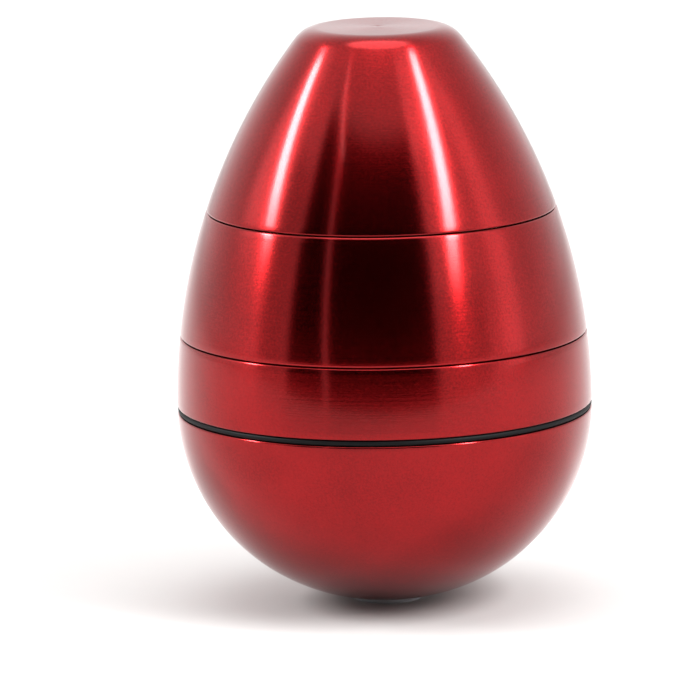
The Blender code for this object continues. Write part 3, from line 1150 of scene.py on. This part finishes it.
@dataclass(frozen=True)
class StripLight:
    """A long narrow lamp between two points, turned to face the egg.

    Args:
        name: The lamp's name.
        start: One end, in metres.
        end: The other end.
        width: Its width in metres.
        radiance: How bright its face is.
        unlit: How far along it the light begins, as a share of its length.
        full: How far along it the light is at full strength.
    """

    name: str
    start: Vector
    end: Vector
    width: float
    radiance: float
    unlit: float = 0.05
    full: float = 0.52

    def build(self, target: Vector) -> None:
        """Make the lamp.

        Args:
            target: The point that its face is turned to.
        """
        length = (self.end - self.start).length
        along = (self.end - self.start).normalized()
        centre = (self.start + self.end) / 2
        back = (centre - target).normalized()
        side = back.cross(along).normalized()
        facing = side.cross(along).normalized()
        if facing.dot(back) < 0:
            side, facing = -side, -facing
        lamp = bpy.data.lights.new(self.name, "AREA")
        lamp.shape = "RECTANGLE"
        lamp.size, lamp.size_y = self.width, length
        lamp.energy = self.radiance * math.pi * self.width * length
        self._fade(lamp)
        obj = bpy.data.objects.new(self.name, lamp)
        axes = Matrix((side, along, facing)).transposed()
        obj.matrix_world = Matrix.Translation(centre) @ axes.to_4x4()
        obj.visible_camera = False
        bpy.context.scene.collection.objects.link(obj)

    def _fade(self, lamp: Light) -> None:
        """Dim the lamp's face towards its start.

        Args:
            lamp: The lamp.
        """
        lamp.use_nodes = True
        tree = lamp.node_tree
        place = add_node(tree, "NewGeometry").outputs["Parametric"]
        along = add_node(tree, "SeparateXYZ", {0: place}).outputs[1]
        reach = {0: along, 1: self.unlit, 2: self.full}
        ramp = add_node(tree, "MapRange", reach, interpolation_type="SMOOTHSTEP")
        feed(tree, tree.nodes["Emission"], {"Strength": ramp})


@dataclass(frozen=True)
class Studio:
    """A white table in a white room, with a dark opening in front and a strip lamp on each side."""

    surroundings: float = 1.15
    panels: tuple[Panel, ...] = (
        Panel(1.45, 0.0, 0.0, 220.0, 200.0, 40.0),
        Panel(4.4, 0.0, 90.0, 400.0, 44.0, 8.0),
        Panel(1.1, -118.0, 20.0, 44.0, 30.0, 16.0),
        Panel(1.1, 112.0, 20.0, 34.0, 36.0, 16.0),
        Panel(2.2, 79.0, 24.0, 14.0, 56.0, 8.0),
        Panel(0.85, 47.0, 0.0, 32.0, 28.0, 8.0),
        Panel(0.7, -67.0, 12.0, 18.0, 46.0, 8.0),
        Panel(0.0, -13.0, 10.0, 88.0, 76.0, 7.0),
        Panel(1.25, -13.0, 60.0, 84.0, 18.0, 7.0),
        Panel(2.4, 52.0, 52.0, 44.0, 20.0, 6.0),
        Panel(1.0, -34.5, 16.0, 2.5, 50.0, 1.5, -0.1),
        Panel(5.0, -44.0, 50.0, 3.4, 16.0, 2.0, -1.1),
        Panel(2.4, -94.0, 32.0, 26.0, 36.0, 12.0),
    )
    lamps: tuple[StripLight, ...] = (
        StripLight(
            "left_strip", Vector((-0.760, -0.187, 0.221)), Vector((-0.578, 0.088, 0.601)), 0.085, 50.0
        ),
        StripLight(
            "right_strip", Vector((0.540, -0.574, 0.194)), Vector((0.396, -0.181, 0.726)), 0.08, 54.0
        ),
    )
    table_reach: float = 6.0
    table_front: float = 0.3
    camera_place: Vector = field(default_factory=lambda: Vector((0.0, -1.0, 0.21871)))
    yaw: float = math.radians(-0.243)
    pitch: float = math.radians(10.591)
    roll: float = math.radians(-1.101)
    lens: float = 417.47
    sensor: float = 36.0

    def build(self) -> None:
        """Set up the table, the surroundings, the lamps and the camera."""
        low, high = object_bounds()
        self._table(low.z)
        self._world()
        for lamp in self.lamps:
            lamp.build((low + high) / 2)
        self._camera()
        bpy.context.scene.view_settings.view_transform = "Standard"

    def _table(self, z: float) -> None:
        """Lay the white table top.

        Args:
            z: Height of its surface, in metres.
        """
        reach, front = self.table_reach, -self.table_front
        bm = bmesh.new()
        corners = [(-reach, front), (reach, front), (reach, reach), (-reach, reach)]
        bm.faces.new([bm.verts.new((x, y, z)) for x, y in corners])
        table = new_object("table_top", bm)
        paper = GrainedSolid("matt_board", "#C2C1C0", "#BEBDBC", 0.9, 3.0, relief=0.01)
        table.data.materials.append(paper.make())
        table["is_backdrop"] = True

    def _world(self) -> None:
        """Light the room: white all round, with the panels laid over each other in order."""
        world = bpy.data.worlds.new("studio")
        bpy.context.scene.world = world
        world.use_nodes = True
        tree = world.node_tree
        tree.nodes.clear()
        toward = add_node(tree, "TexCoord").outputs["Generated"]
        split = add_node(tree, "SeparateXYZ", {0: toward}).outputs
        ahead = add_node(tree, "Math", {0: split[1], 1: -1.0}, operation="MULTIPLY")
        azimuth = add_node(tree, "Math", {0: split[0], 1: ahead}, operation="ARCTAN2")
        elevation = add_node(tree, "Math", {0: split[2]}, operation="ARCSINE")
        turns = [add_node(tree, "Math", {0: turn}, operation="DEGREES") for turn in (azimuth, elevation)]
        light: float | Node = self.surroundings
        for panel in self.panels:
            light = self._panel(tree, panel, turns, light)
        white = linear("#FFFFFF")
        room = add_node(tree, "Background", {"Color": white, "Strength": light})
        backdrop = add_node(tree, "Background", {"Color": white})
        seen = add_node(tree, "LightPath").outputs["Is Camera Ray"]
        chosen = add_node(tree, "MixShader", {0: seen, 1: room, 2: backdrop})
        add_node(tree, "OutputWorld", {"Surface": chosen})

    def _panel(self, tree: NodeTree, panel: Panel, turns: list[Node], light: float | Node) -> Node:
        """Lay one panel over the light so far.

        Args:
            tree: The world's nodes.
            panel: The panel.
            turns: The direction's azimuth and elevation, in degrees.
            light: The brightness under the panel.

        Returns:
            The brightness with the panel.
        """
        rise = add_node(tree, "Math", {0: turns[1], 1: panel.elevation}, operation="SUBTRACT")
        shift = {0: rise, 1: panel.lean, 2: panel.azimuth}
        centre = add_node(tree, "Math", shift, operation="MULTIPLY_ADD")
        aside = add_node(tree, "Math", {0: turns[0], 1: centre}, operation="SUBTRACT")
        cover: float | Node = 1.0
        for offset, size in ((aside, panel.width), (rise, panel.height)):
            far = add_node(tree, "Math", {0: offset}, operation="ABSOLUTE")
            ramp = {0: far, 1: (size + panel.blur) / 2, 2: (size - panel.blur) / 2}
            edge = add_node(tree, "MapRange", ramp, interpolation_type="SMOOTHSTEP")
            cover = add_node(tree, "Math", {0: cover, 1: edge}, operation="MULTIPLY")
        return add_node(tree, "Mix", {0: cover, 2: light, 3: panel.level}, data_type="FLOAT")

    def _camera(self) -> None:
        """Place the camera: a long lens, a little above the egg and slightly rolled."""
        flat = math.cos(self.pitch)
        ahead = Vector((math.sin(self.yaw) * flat, math.cos(self.yaw) * flat, -math.sin(self.pitch)))
        right = Vector((math.cos(self.yaw), -math.sin(self.yaw), 0.0))
        up = right.cross(ahead)
        across = right * math.cos(self.roll) + up * math.sin(self.roll)
        upright = up * math.cos(self.roll) - right * math.sin(self.roll)
        data = bpy.data.cameras.new("camera")
        data.lens = self.lens
        data.sensor_width = self.sensor
        camera = bpy.data.objects.new("camera", data)
        axes = Matrix((across, upright, -ahead)).transposed()
        camera.matrix_world = Matrix.Translation(self.camera_place) @ axes.to_4x4()
        bpy.context.scene.collection.objects.link(camera)
        bpy.context.scene.camera = camera


# ---- main


def main() -> None:
    """Build the grinder round the frame, section by section, and set up the studio."""
    logging.basicConfig(level=logging.INFO, format="%(message)s")
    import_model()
    outline = EggOutline(max_radius=span("sieve_ring").radius)
    screw, lathe = ScrewJoint(), Lathe()
    upper = AnodisedAluminium().make()
    lower = AnodisedAluminium(name="anodised_aluminium_bowl", lean=1.0).make()
    solids = (
        GrainedSolid("silicone_rubber", "#B4B4B6", "#A6A6A9", 0.45, 0.8, ior=1.41, subsurface=0.6),
        GrainedSolid("nitrile_rubber", "#121213", "#0B0B0C", 0.5, 0.25, ior=1.52, specular=0.1),
        GrainedSolid("drawn_wire", "#C9C7C4", "#B3B1AE", 0.28, 0.1, metallic=1.0),
        GrainedSolid("spring_steel", "#BDBBB8", "#A3A19E", 0.3, 0.15, metallic=1.0),
        GrainedSolid("nickel_plate", "#DAD6CE", "#CFCBC2", 0.18, 0.4, 0.0008, metallic=1.0),
        GrainedSolid("natural_nylon", "#E4DFD2", "#DAD4C6", 0.5, 0.5, ior=1.53, subsurface=0.3),
    )
    silicone, rubber, wire, spring, nickel, nylon = (solid.make() for solid in solids)
    magnet = Magnet(Lathe(segments=96), nickel)
    Bowl(outline, screw, lathe, lower, silicone).build()
    SieveRing(outline, screw, lathe, upper, rubber, wire, spring).build()
    Chamber(outline, screw, lathe, upper, magnet).build()
    Lid(outline, screw, lathe, upper, nylon, magnet).build()
    Studio().build()


if __name__ == "__main__":
    main()
